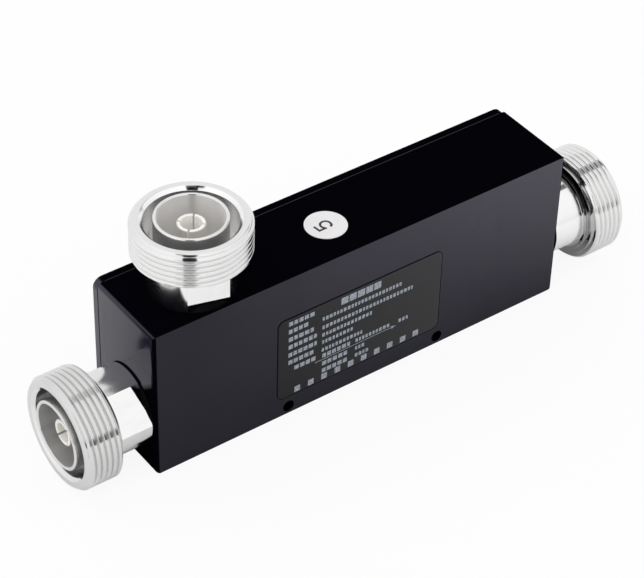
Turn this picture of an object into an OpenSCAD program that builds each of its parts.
// Cavity directional coupler: a milled housing with a back cover and three coaxial screw ports.
// The origin lies on the bottom face, at mid length, in the plane of the port axes.
// X runs along the housing to the output port, Y from the front face to the back cover, Z up.

/* [Housing] */
// Length between the two end faces
housing_l = 123; // [115:1:160]
// Height of the housing
housing_h = 43; // [42:1:60]
// Depth of the housing block, from its front face to its open back
housing_d = 23.7; // [22:0.1:32]
// Distance from the front face to the port axes
axis_from_front = 11; // [10:0.1:12]
// Radius of the housing's vertical front edges
edge_r = 1.2; // [0.5:0.1:2.5]
// Radius of the top and bottom edges at the housing's ends
rim_r = 1.2; // [0.5:0.1:2.5]
// Thickness of the front wall
front_wall = 4; // [3:0.1:4.5]
// Thickness of the end walls
end_wall = 9; // [8:0.1:11]
// Thickness of the bottom wall
floor_wall = 6; // [5:0.1:7]
// Thickness of the top wall
roof_wall = 7; // [6.5:0.1:9]

/* [Back cover] */
// Thickness of the back cover
cover_t = 2; // [1.8:0.1:4]
// Radius of the back cover's corners
cover_corner_r = 2.5; // [0.5:0.1:3.5]
// Thickness of the gasket under the cover
gasket_t = 0.3; // [0.2:0.05:0.8]
// Distance that the gasket lies back from the cover's edge
gasket_inset = 0.1; // [0.1:0.1:1]
// Distance from the end faces to the outer cover screws
cover_screw_inset_x = 4.5; // [4:0.1:5]
// Distance from the bottom and top faces to the cover screws
cover_screw_inset_z = 3.4; // [3.2:0.1:3.6]
// Number of cover screws in the top row
cover_screws_top = 5; // [4:1:6]
// Height of the screws at the end walls above the end ports' axes
cover_screw_side_rise = 12.7; // [11:0.1:15]

/* [Cover screws] */
// Radius of the cover screws' thread
cover_screw_r = 1.5; // [1.2:0.05:1.5]
// Radius of the countersunk heads
cover_screw_head_r = 2.8; // [2.4:0.05:2.9]
// Length of the cover screws with their heads
cover_screw_l = 8; // [6:0.5:9]
// Width across the flats of the key socket
cover_screw_key = 2; // [1.5:0.1:2.2]
// Depth of the key socket
cover_screw_key_depth = 0.9; // [0.6:0.1:1.1]

/* [Mounting holes] */
// Distance between the two mounting holes
mount_spacing = 46; // [30:1:60]
// Radius of the mounting holes
mount_hole_r = 1.6; // [1.4:0.05:1.7]
// Height of the mounting holes above the bottom face
mount_hole_z = 2.3; // [2:0.1:3]

/* [Port places] */
// Height of the end ports' axes above the bottom face
port_z = 15.3; // [15:0.1:17]
// Distance from the input end face to the coupled port's axis
coupled_from_end = 18; // [18:0.5:24]
// Turn of the input port's spanner flats about its axis
input_turn = -56; // [-180:1:180]
// Turn of the output port's spanner flats about its axis
output_turn = -37; // [-180:1:180]
// Turn of the coupled port's spanner flats about its axis
coupled_turn = -98; // [-180:1:180]

/* [Port shell] */
// Distance from the housing's face to the collar's front face
collar_front = 20.2; // [18:0.1:24]
// Length of the screw collar
collar_l = 9.4; // [7:0.1:10]
// Radius of the screw collar over its thread
collar_r = 14.5; // [14.3:0.1:16]
// Chamfer of the collar's front edge
collar_chamfer = 1.2; // [0.4:0.1:1.3]
// Chamfer of the collar's rear edge
collar_rear_chamfer = 0.5; // [0.1:0.1:0.6]
// Radius of the collar's bore
collar_bore_r = 11.2; // [10.8:0.1:11.8]
// Chamfer of the collar's bore
collar_bore_chamfer = 0.9; // [0.2:0.1:1]
// Thickness of the collar's back wall, behind the ring groove
collar_back = 0.8; // [0.6:0.1:2]
// Radius of the first hub step behind the collar
hub_r = 12.8; // [12.2:0.1:13.8]
// Length of the first hub step
hub_l = 0.6; // [0.3:0.1:1]
// Radius of the second hub step
hub_small_r = 11.4; // [11:0.1:12]
// Length of the second hub step
hub_small_l = 0.9; // [0.4:0.1:1.5]
// Radius of the neck
neck_r = 10.5; // [10.2:0.1:10.8]
// Width across the neck's two spanner flats
neck_flats = 18; // [17.6:0.1:20]
// Radius of the spigot that sits in the housing wall
spigot_r = 8; // [7.5:0.1:8.2]
// Length of the spigot
spigot_l = 7; // [5:0.1:7]
// Outer radius of the inner tube
tube_r = 8.9; // [8.7:0.1:9.4]
// Bore radius of the inner tube
tube_bore_r = 8; // [7.5:0.1:8.2]
// Distance that the inner tube stands proud of the collar
tube_proud = 0.4; // [0:0.1:2]
// Chamfer of the inner tube's rim
tube_chamfer = 0.2; // [0.1:0.05:0.3]
// Bore radius of the rear passage
passage_r = 5.5; // [5:0.1:6]
// Thickness of the sealing ring
seal_t = 0.4; // [0.3:0.05:1]
// Distance that the sealing ring lies back from the neck's surface
seal_inset = 0.4; // [0.2:0.1:0.8]

/* [Port inside] */
// Distance from the housing's face to the insulator's seat
insulator_seat = 3; // [1.5:0.1:4]
// Length of the insulator
insulator_l = 4; // [3:0.1:6]
// Outer radius of the centre contact
contact_r = 3.5; // [3.3:0.1:4]
// Distance of the contact's face behind the collar's front face
contact_recess = 1.5; // [0:0.1:2]
// Chamfer of the contact's edges
contact_chamfer = 0.25; // [0.1:0.05:0.4]
// Bore radius of the contact's socket
socket_r = 2.4; // [2:0.1:2.6]
// Depth of the contact's socket
socket_l = 9; // [7:0.1:10]
// Width of the slots in the socket's wall
socket_slot_w = 0.5; // [0.3:0.05:0.8]
// Depth of the slots
socket_slot_l = 8; // [5:0.1:8.5]
// Radius of the contact's stem
stem_r = 2.4; // [2:0.1:2.6]
// Radius of the pin at the stem's end
stem_pin_r = 1.5; // [1.2:0.05:1.8]
// Length of the pin at the stem's end
stem_pin_l = 4; // [2:0.1:4.2]

/* [Lines] */
// Height of the main line
main_line_h = 7; // [5:0.1:8]
// Thickness of both lines
line_d = 5; // [4.4:0.1:6]
// Gap between the end walls and the main line
line_end_gap = 2; // [1.5:0.1:4]
// Height of the coupled line
coupled_line_h = 5; // [4.8:0.1:6]
// Gap between the main line's middle stretch and the coupled line
line_gap = 2.7; // [1.5:0.1:4]
// Gap between the line supports and the main line's middle stretch
line_step_gap = 4; // [1:0.1:10]
// Distance that the coupled line runs on past the coupled port's axis
coupled_line_tail = 3.5; // [3:0.1:6]
// Distance from the coupled line's end to the output end wall
coupled_line_short = 14.5; // [14:0.1:18]

/* [Line supports] */
// Thickness of the line supports
support_t = 6; // [4:0.1:8]
// Distance from the end walls to the middle of each line support
support_from_wall = 22.5; // [21.5:0.1:30]

/* [Load] */
// Distance from the output end wall to the load's middle
load_from_wall = 8.5; // [7:0.1:8.6]
// Width of the load's flange
load_flange_w = 9; // [8:0.1:10]
// Height of the load's flange
load_flange_h = 18; // [17.5:0.1:18.5]
// Thickness of the load's flange
load_flange_t = 2; // [1.8:0.1:2.2]
// Gap between the load's flange and the cavity's roof
load_roof_gap = 1; // [0.5:0.1:2]
// Distance between the load's two screws
load_screw_spacing = 13; // [12.8:0.1:13.2]
// Radius of the load screws' thread
load_screw_r = 1.25; // [1:0.05:1.3]
// Radius of the load screws' heads
load_screw_head_r = 2.2; // [1.8:0.05:2.2]
// Height of the load screws' heads
load_screw_head_h = 1.6; // [1.2:0.1:2]
// Depth of the load screws in the front wall
load_screw_bite = 2.2; // [1.5:0.1:2.4]
// Width of the load's ceramic
load_ceramic_w = 6; // [5:0.1:7]
// Height of the load's ceramic
load_ceramic_h = 6; // [5:0.1:8.2]
// Thickness of the load's tab
load_tab_t = 0.2; // [0.1:0.05:0.4]
// Height of the load's tab
load_tab_h = 3; // [2:0.1:4]
// Length of tab on the ceramic
load_tab_on = 4; // [2:0.1:5]
// Length of tab under the coupled line
load_tab_under = 4.5; // [3:0.1:4.8]
// Thickness of the load's cap
load_cap_t = 1; // [0.6:0.1:1.5]
// Distance that the cap lies back from the ceramic's edge
load_cap_inset = 0.3; // [0.1:0.05:0.6]

/* [Label and sticker] */
// Width of the label film
label_w = 49.8; // [30:0.1:60]
// Height of the label film
label_h = 25.2; // [20:0.1:30]
// Place of the label's middle along the housing
label_x = -1.7; // [-10:0.1:10]
// Height of the label's lower edge
label_z = 5.5; // [4.8:0.1:8]
// Corner radius of the label
label_corner_r = 2; // [0.5:0.1:4]
// Thickness of the label and the sticker
film_t = 0.12; // [0.08:0.01:0.3]
// Radius of the number sticker
sticker_r = 5.35; // [3:0.05:7]
// Place of the number sticker along the housing
sticker_x = -4.5; // [-12:0.1:20]
// Place of the number sticker across the top face
sticker_y = 0.6; // [-3:0.1:3]

/* [Clearances] */
// Radial clearance of a spigot or screw in its hole
thread_gap = 0.05; // [0.02:0.01:0.1]
// Clearance of the insulators, pins and line supports
fit_gap = 0.03; // [0.02:0.01:0.1]
// Radial clearance of a screw in the piece that it clamps
screw_gap = 0.2; // [0.1:0.05:0.3]
// Depth left free under the end of a screw or pin
end_gap = 0.4; // [0.2:0.1:0.6]

/* [Hidden] */
$fn = 96;
// Overlap of a cut past the face that it opens
cut = 1;
// Reach of a cut that clears all of a port's neck
neck_cut = 2 * neck_r;

// Faces of the housing and of the plates on its back
front_y = -axis_from_front;
open_y = front_y + housing_d;
cover_y = open_y + gasket_t;
back_y = cover_y + cover_t;
half_l = housing_l / 2;

// Faces of the cavity
cavity_half_l = half_l - end_wall;
cavity_front_y = front_y + front_wall;
cavity_top_z = housing_h - roof_wall;
cavity_h = cavity_top_z - floor_wall;

// Places along a port's axis, counted outwards from the housing's face
collar_rear = collar_front - collar_l;
hub_rear = collar_rear - hub_l;
hub_small_rear = hub_rear - hub_small_l;
tube_rim = collar_front + tube_proud;
groove_floor = collar_rear + collar_back;
insulator_front = insulator_seat + insulator_l;
contact_face = collar_front - contact_recess;

// Lines, with the lengths of the stems that reach them.
// The load hangs under the roof and sets the height of the coupled line.
main_line_half_l = cavity_half_l - line_end_gap;
main_line_z = port_z - main_line_h / 2;
coupled_line_mid_z = cavity_top_z - load_roof_gap - load_flange_h / 2;
coupled_line_z = coupled_line_mid_z - coupled_line_h / 2;
support_x = cavity_half_l - support_from_wall;
main_line_mid_h = coupled_line_z - line_gap - main_line_z;
main_line_mid_l = 2 * (support_x - support_t / 2 - line_step_gap);
coupled_x = -half_l + coupled_from_end;
coupled_line_end_x = cavity_half_l - coupled_line_short;
end_stem_l = end_wall + line_end_gap;
coupled_stem_l = housing_h - coupled_line_z - coupled_line_h;

// Load, stacked from the front wall up to the coupled line's front face
load_x = cavity_half_l - load_from_wall;
load_flange_top = cavity_front_y + load_flange_t;
load_tab_y = -line_d / 2 - load_tab_t;
load_ceramic_x = load_x - load_ceramic_w / 2;

// Middles of the cover screws, as places along the length and up the height
cover_screw_x = half_l - cover_screw_inset_x;
cover_screw_top_z = housing_h - cover_screw_inset_z;
cover_screw_step = 2 * cover_screw_x / (cover_screws_top - 1);
cover_screw_places = concat(
    [for (i = [0 : cover_screws_top - 1]) [-cover_screw_x + i * cover_screw_step, cover_screw_top_z]],
    [for (x = [-cover_screw_x, 0, cover_screw_x]) [x, cover_screw_inset_z]],
    [for (x = [-cover_screw_x, cover_screw_x]) [x, port_z + cover_screw_side_rise]]
);

// Flat outline with four round corners, centred
module rounded_rect(w, h, r) {
    square([w - 2 * r, h], center = true);
    square([w, h - 2 * r], center = true);
    for (x = [-1, 1], y = [-1, 1]) {
        translate([x * (w / 2 - r), y * (h / 2 - r)]) circle(r);
    }
}

// Flat outline from y = 0 back to y = d, with its two front corners round
module round_front(w, d, r) {
    translate([-w / 2, r]) square([w, d - r]);
    translate([r - w / 2, 0]) square([w - 2 * r, d]);
    for (x = [-1, 1]) {
        translate([x * (w / 2 - r), r]) circle(r);
    }
}

// Stands an outline drawn in X and Z upright, from the plane at y backwards through depth t
module upright(y, t) {
    translate([0, y + t, 0]) rotate([90, 0, 0]) linear_extrude(t) children();
}

// Round hole or pin along Y, from the plane at y0 to the plane at y1
module along_y(x, z, r, y0, y1) {
    translate([x, y0, z]) rotate([-90, 0, 0]) cylinder(r = r, h = y1 - y0);
}

// Port frames: the local Z axis points out of the port, from the housing's face
module at_input() {
    translate([-half_l, 0, port_z]) rotate([0, -90, 0]) children();
}

module at_output() {
    translate([half_l, 0, port_z]) rotate([0, 90, 0]) children();
}

module at_coupled() {
    translate([coupled_x, 0, housing_h]) children();
}

// The two mounting holes, cut from the plane at y0 to the plane at y1
module mounting_holes(y0, y1) {
    for (x = [-1, 1]) {
        along_y(x * mount_spacing / 2, mount_hole_z, mount_hole_r, y0, y1);
    }
}

// Bore for a spigot, cut inwards from the housing's face
module spigot_bore(wall) {
    translate([0, 0, -wall - cut]) cylinder(r = spigot_r + thread_gap, h = wall + 2 * cut);
}

// Block with rounded front edges and rounded ends, square at the back
module housing_block() {
    intersection() {
        translate([0, front_y, 0]) linear_extrude(housing_h) round_front(housing_l, housing_d, edge_r);
        upright(front_y, housing_d) translate([0, housing_h / 2]) rounded_rect(housing_l, housing_h, rim_r);
    }
}

// Milled block with its cavity open at the back
module housing() {
    cover_screw_reach = cover_screw_l - cover_t - gasket_t + end_gap;
    color("#1b1b1e") difference() {
        housing_block();
        translate([-cavity_half_l, cavity_front_y, floor_wall])
            cube([2 * cavity_half_l, housing_d, cavity_h]);
        at_input() spigot_bore(end_wall);
        at_output() spigot_bore(end_wall);
        at_coupled() spigot_bore(roof_wall);
        mounting_holes(front_y - cut, open_y + cut);
        for (p = cover_screw_places) {
            along_y(p[0], p[1], cover_screw_r + thread_gap, open_y - cover_screw_reach, open_y + cut);
        }
        for (side = [-1, 1]) {
            along_y(load_x, coupled_line_mid_z + side * load_screw_spacing / 2, load_screw_r + thread_gap,
                cavity_front_y - load_screw_bite - end_gap, cavity_front_y + cut);
        }
    }
}

// Flat plate with countersunk screw holes
module back_cover() {
    sink_r = cover_screw_head_r + thread_gap;
    color("#1b1b1e") difference() {
        upright(cover_y, cover_t) translate([0, housing_h / 2])
            rounded_rect(housing_l, housing_h, cover_corner_r);
        mounting_holes(cover_y - cut, back_y + cut);
        for (p = cover_screw_places) {
            along_y(p[0], p[1], cover_screw_r + screw_gap, cover_y - cut, back_y + cut);
            translate([p[0], back_y - sink_r, p[1]])
                rotate([-90, 0, 0]) cylinder(r1 = 0, r2 = sink_r, h = sink_r);
        }
    }
}

// Flat gasket that lies round the cavity's mouth
module cover_gasket() {
    color("#3a3a3c") difference() {
        upright(open_y, gasket_t) difference() {
            translate([0, housing_h / 2])
                rounded_rect(housing_l - 2 * gasket_inset, housing_h - 2 * gasket_inset, cover_corner_r);
            translate([0, floor_wall + cavity_h / 2]) square([2 * cavity_half_l, cavity_h], center = true);
        }
        mounting_holes(open_y - cut, cover_y + cut);
        for (p = cover_screw_places) {
            along_y(p[0], p[1], cover_screw_r + screw_gap, open_y - cut, cover_y + cut);
        }
    }
}

// Countersunk screw with a key socket, driven in from the back
module cover_screw() {
    head_h = cover_screw_head_r - cover_screw_r;
    difference() {
        union() {
            cylinder(r = cover_screw_r, h = cover_screw_l);
            translate([0, 0, cover_screw_l - head_h])
                cylinder(r1 = cover_screw_r, r2 = cover_screw_head_r, h = head_h);
        }
        translate([0, 0, cover_screw_l - cover_screw_key_depth])
            cylinder(d = cover_screw_key / cos(30), h = cover_screw_key_depth + cut, $fn = 6);
    }
}

module cover_screws() {
    color("#2a2a2c") for (p = cover_screw_places) {
        translate([p[0], back_y - cover_screw_l, p[1]]) rotate([-90, 0, 0]) cover_screw();
    }
}

// One turned piece: screw collar, inner tube, stepped hub, neck with two flats, spigot
module port_shell(turn) {
    color("#d9d9dc") rotate([0, 0, turn]) difference() {
        rotate_extrude() polygon([
            [passage_r, -spigot_l],
            [spigot_r, -spigot_l],
            [spigot_r, seal_t],
            [neck_r, seal_t],
            [neck_r, hub_small_rear],
            [hub_small_r, hub_small_rear],
            [hub_small_r, hub_rear],
            [hub_r, hub_rear],
            [hub_r, collar_rear],
            [collar_r - collar_rear_chamfer, collar_rear],
            [collar_r, collar_rear + collar_rear_chamfer],
            [collar_r, collar_front - collar_chamfer],
            [collar_r - collar_chamfer, collar_front],
            [collar_bore_r + collar_bore_chamfer, collar_front],
            [collar_bore_r, collar_front - collar_bore_chamfer],
            [collar_bore_r, groove_floor],
            [tube_r, groove_floor],
            [tube_r, tube_rim - tube_chamfer],
            [tube_r - tube_chamfer, tube_rim],
            [tube_bore_r + tube_chamfer, tube_rim],
            [tube_bore_r, tube_rim - tube_chamfer],
            [tube_bore_r, insulator_seat],
            [passage_r, insulator_seat]
        ]);
        for (side = [0, 180]) {
            rotate([0, 0, side]) translate([neck_flats / 2, -neck_cut / 2, 0])
                cube([neck_cut, neck_cut, hub_small_rear]);
        }
    }
}

// Flat ring between the housing's face and the neck
module port_seal() {
    color("#0c0c0c") difference() {
        cylinder(r = neck_r - seal_inset, h = seal_t);
        translate([0, 0, -cut]) cylinder(r = spigot_r + thread_gap, h = seal_t + 2 * cut);
    }
}

// Bead that carries the contact's stem in the shell
module port_insulator() {
    color("#f2f1ec") translate([0, 0, insulator_seat]) difference() {
        cylinder(r = tube_bore_r - fit_gap, h = insulator_l);
        translate([0, 0, -cut]) cylinder(r = stem_r + fit_gap, h = insulator_l + 2 * cut);
    }
}

// Slotted socket with a stem that reaches stem_l behind the housing's face, and a pin at its end
module port_contact(stem_l) {
    socket_floor = contact_face - socket_l;
    color("#e8e6df") difference() {
        rotate_extrude() polygon([
            [0, -stem_l - stem_pin_l],
            [stem_pin_r, -stem_l - stem_pin_l],
            [stem_pin_r, -stem_l],
            [stem_r, -stem_l],
            [stem_r, insulator_front],
            [contact_r, insulator_front],
            [contact_r, contact_face - contact_chamfer],
            [contact_r - contact_chamfer, contact_face],
            [socket_r + contact_chamfer, contact_face],
            [socket_r, contact_face - contact_chamfer],
            [socket_r, socket_floor],
            [0, socket_floor]
        ]);
        for (turn = [45, 135]) {
            rotate([0, 0, turn]) translate([-contact_r - cut, -socket_slot_w / 2, contact_face - socket_slot_l])
                cube([2 * (contact_r + cut), socket_slot_w, socket_slot_l + cut]);
        }
    }
}

module input_shell() {
    at_input() port_shell(input_turn);
}

module input_seal() {
    at_input() port_seal();
}

module input_insulator() {
    at_input() port_insulator();
}

module input_contact() {
    at_input() port_contact(end_stem_l);
}

module output_shell() {
    at_output() port_shell(output_turn);
}

module output_seal() {
    at_output() port_seal();
}

module output_insulator() {
    at_output() port_insulator();
}

module output_contact() {
    at_output() port_contact(end_stem_l);
}

module coupled_shell() {
    at_coupled() port_shell(coupled_turn);
}

module coupled_seal() {
    at_coupled() port_seal();
}

module coupled_insulator() {
    at_coupled() port_insulator();
}

module coupled_contact() {
    at_coupled() port_contact(coupled_stem_l);
}

// Hole in a line's end for the pin of a stem, cut inwards from the local origin
module pin_hole() {
    translate([0, 0, -stem_pin_l - end_gap]) cylinder(r = stem_pin_r + fit_gap, h = stem_pin_l + end_gap + cut);
}

// Bar between the two end contacts, taller in the middle
module main_line() {
    color("#d8c48a") difference() {
        union() {
            translate([-main_line_half_l, -line_d / 2, main_line_z])
                cube([2 * main_line_half_l, line_d, main_line_h]);
            translate([-main_line_mid_l / 2, -line_d / 2, main_line_z])
                cube([main_line_mid_l, line_d, main_line_mid_h]);
        }
        translate([-main_line_half_l, 0, port_z]) rotate([0, -90, 0]) pin_hole();
        translate([main_line_half_l, 0, port_z]) rotate([0, 90, 0]) pin_hole();
    }
}

// Bar from the coupled port to the load
module coupled_line() {
    start_x = coupled_x - coupled_line_tail;
    color("#d8c48a") difference() {
        translate([start_x, -line_d / 2, coupled_line_z])
            cube([coupled_line_end_x - start_x, line_d, coupled_line_h]);
        translate([coupled_x, 0, coupled_line_z + coupled_line_h]) pin_hole();
    }
}

// Comb that carries both lines, with slots open to the back
module line_support(x) {
    slot_d = open_y + cut + line_d / 2;
    color("#f2f1ec") difference() {
        translate([x - support_t / 2, cavity_front_y, floor_wall])
            cube([support_t, open_y - cavity_front_y - fit_gap, cavity_h - fit_gap]);
        translate([x - support_t / 2 - cut, -line_d / 2, main_line_z - fit_gap])
            cube([support_t + 2 * cut, slot_d, main_line_h + 2 * fit_gap]);
        translate([x - support_t / 2 - cut, -line_d / 2, coupled_line_z - fit_gap])
            cube([support_t + 2 * cut, slot_d, coupled_line_h + 2 * fit_gap]);
    }
}

module line_support_left() {
    line_support(-support_x);
}

module line_support_right() {
    line_support(support_x);
}

// Load: a flange on the front wall, a ceramic with its tab, and a cap
module load_flange() {
    color("#c9a26a") difference() {
        translate([load_x - load_flange_w / 2, cavity_front_y, coupled_line_mid_z - load_flange_h / 2])
            cube([load_flange_w, load_flange_t, load_flange_h]);
        for (side = [-1, 1]) {
            along_y(load_x, coupled_line_mid_z + side * load_screw_spacing / 2, load_screw_r + screw_gap,
                cavity_front_y - cut, load_flange_top + cut);
        }
    }
}

module load_substrate() {
    color("#f5f5f0")
        translate([load_ceramic_x, load_flange_top, coupled_line_mid_z - load_ceramic_h / 2])
            cube([load_ceramic_w, load_tab_y - load_flange_top, load_ceramic_h]);
}

module load_tab() {
    start_x = coupled_line_end_x - load_tab_under;
    color("#dddddd")
        translate([start_x, load_tab_y, coupled_line_mid_z - load_tab_h / 2])
            cube([load_ceramic_x + load_tab_on - start_x, load_tab_t, load_tab_h]);
}

module load_cap() {
    color("#ffffff")
        translate([load_ceramic_x + load_cap_inset, -line_d / 2,
                coupled_line_mid_z - load_ceramic_h / 2 + load_cap_inset])
            cube([load_ceramic_w - 2 * load_cap_inset, load_cap_t, load_ceramic_h - 2 * load_cap_inset]);
}

module load_screws() {
    color("#b9b9bd") for (side = [-1, 1]) {
        z = coupled_line_mid_z + side * load_screw_spacing / 2;
        along_y(load_x, z, load_screw_r, cavity_front_y - load_screw_bite, load_flange_top);
        along_y(load_x, z, load_screw_head_r, load_flange_top, load_flange_top + load_screw_head_h);
    }
}

// Thin film on the front face
module label_film() {
    color("#26262a") upright(front_y - film_t, film_t)
        translate([label_x, label_z + label_h / 2]) rounded_rect(label_w, label_h, label_corner_r);
}

// Round paper sticker on the top face
module number_sticker() {
    color("#eeeeee") translate([sticker_x, sticker_y, housing_h]) cylinder(r = sticker_r, h = film_t);
}

housing();
back_cover();
cover_gasket();
cover_screws();
input_shell();
input_seal();
input_insulator();
input_contact();
output_shell();
output_seal();
output_insulator();
output_contact();
coupled_shell();
coupled_seal();
coupled_insulator();
coupled_contact();
main_line();
coupled_line();
line_support_left();
line_support_right();
load_flange();
load_substrate();
load_tab();
load_cap();
load_screws();
label_film();
number_sticker();
